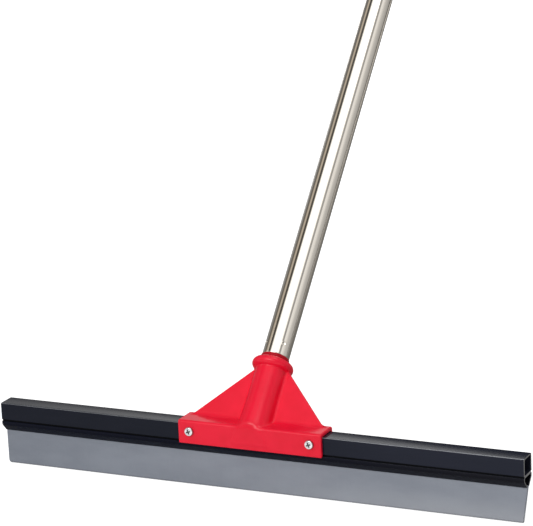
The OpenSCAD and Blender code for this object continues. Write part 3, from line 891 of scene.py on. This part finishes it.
mirrored_glow = (mirrored_ray - dim) * far.ramp(250.0, 700.0, 0.55, 0.1)
drive(shader, paint,
      Base_Color=dim.mix((0.74, 0.74, 0.74, 1), mirrored_floor),
      Emission_Color=glow + mirrored_glow)
floor_mesh.materials.append(white)

azimuth, elevation, roll = (math.radians(angle) for angle in (25.645, 14.677, 2.486))
distance = 2.00274
target = Vector((0.01672, 0.0, 0.18934))
focal_pixels, photo_wide = 2577.4, 533
forward = Vector((-math.sin(azimuth) * math.cos(elevation), math.cos(azimuth) * math.cos(elevation),
                  -math.sin(elevation)))
level = Vector((math.cos(azimuth), math.sin(azimuth), 0))
down = forward.cross(level)
right = level * math.cos(roll) + down * math.sin(roll)
under = down * math.cos(roll) - level * math.sin(roll)
camera_data = bpy.data.cameras.new("Camera")
camera_data.sensor_width = 36
camera_data.lens = 36 * focal_pixels / photo_wide
camera = bpy.data.objects.new("Camera", camera_data)
scene.collection.objects.link(camera)
turn = Matrix((right, -under, -forward)).transposed().to_4x4()
camera.matrix_world = Matrix.Translation(target - forward * distance) @ turn
scene.camera = camera


def soft_lamp(name, place, aim, wide, tall, power):
    """A rectangular lamp at a place in metres, aimed at a point."""
    data = bpy.data.lights.new(name, "AREA")
    data.shape = "RECTANGLE"
    data.size, data.size_y = wide, tall
    data.energy = power
    lamp = bpy.data.objects.new(name, data)
    scene.collection.objects.link(lamp)
    way = Vector(aim) - Vector(place)
    lamp.matrix_world = Matrix.Translation(place) @ way.to_track_quat("-Z", "Y").to_matrix().to_4x4()
    return lamp


soft_lamp("Front lamp", (-0.3, -2.5, 1.6), (0, 0.1, 0.15), 2.0, 1.0, 43)
soft_lamp("Top lamp", (0.6, -0.1, 2.1), (0, 0.1, 0.1), 0.8, 0.6, 6)
back_lamp = soft_lamp("Back lamp", (1.2, 2.6, 0.8), (0, 0.1, 0.1), 1.4, 1.0, 24)
back_lamp.visible_glossy = False
soft_lamp("Left lamp", (-2.2, -0.9, 1.3), (0, 0.1, 0.2), 1.2, 1.4, 3)

toward_camera = Vector((0.4599, -0.6463, 0.6090))
to_the_right = Vector((0.8880, 0.3347, -0.3154))
up_the_pole = Vector((0, math.sin(lean), math.cos(lean)))
# How bright the room is round the pole, by the angle in degrees from the camera's side.
strips = [
    (-180, 0.02), (-172, 0.02), (-167.6, 0.04), (-165.8, 1.4), (-163.3, 2.4), (-158, 3.3),
    (-152, 2.0), (-146, 0.5), (-136, 0.28), (-120, 0.2), (-107, 0.12), (-95, 0.5),
    (-86, 0.58), (-77, 0.11), (-65, 0.04), (-59.3, 0.3), (-55.3, 1.1), (-50, 1.45),
    (9, 1.4), (16, 0.46), (25, 0.26), (33, 0.93), (45, 0.88), (53, 0.77),
    (62, 0.59), (72, 0.54), (82, 0.48), (95, 0.42), (115, 0.31), (135, 0.21),
    (160, 0.23),
]
world = bpy.data.worlds.new("Room")
scene.world = world
world.use_nodes = True
room = Shade(world.node_tree)
way = room.node("ShaderNodeTexCoord", "Generated")
front_share, right_share, up_share = [
    room.node("ShaderNodeVectorMath", "Value", {0: way, 1: side}, operation="DOT_PRODUCT")
    for side in (toward_camera, to_the_right, up_the_pole)
]
round_pole = right_share.maths("ARCTAN2", right_share, front_share) / (2 * math.pi) + 0.5
stops = [(angle / 360 + 0.5, level) for angle, level in strips]
cards = room.node("ShaderNodeValToRGB", "Color", {"Fac": round_pole}, stops=stops)
gloss = room.node("ShaderNodeLightPath", "Is Glossy Ray")
seen = room.node("ShaderNodeLightPath", "Is Camera Ray")
warm = right_share.ramp(-0.85, -0.79, 1.0, 0.0).mix((1, 1, 1, 1), (1, 0.9, 0.77, 1))
behind = up_share.ramp(0.5, 0.65) * front_share.ramp(-0.45, -0.25, 1.0, 0.0)
near_floor = room.node("ShaderNodeSeparateXYZ", "Z", {0: way}).ramp(0.24, 0.44, 0.935, 0.0)
tint = {"Factor": 1.0, 6: cards, 7: warm}
tinted = room.node("ShaderNodeMix", 2, tint, data_type="RGBA", blend_type="MULTIPLY")
wall = (behind * near_floor).mix(tinted, (0, 0, 0, 1))
shown = up_share.ramp(-0.05, 0.3).mix((0.42, 0.42, 0.42, 1), wall)
lit = gloss.mix(front_share.ramp(-0.4, 0.7, 0.2, 0.43), shown)
background = world.node_tree.nodes["Background"]
world.node_tree.links.new(seen.mix(lit, (1, 1, 1, 1)).socket, background.inputs["Color"])
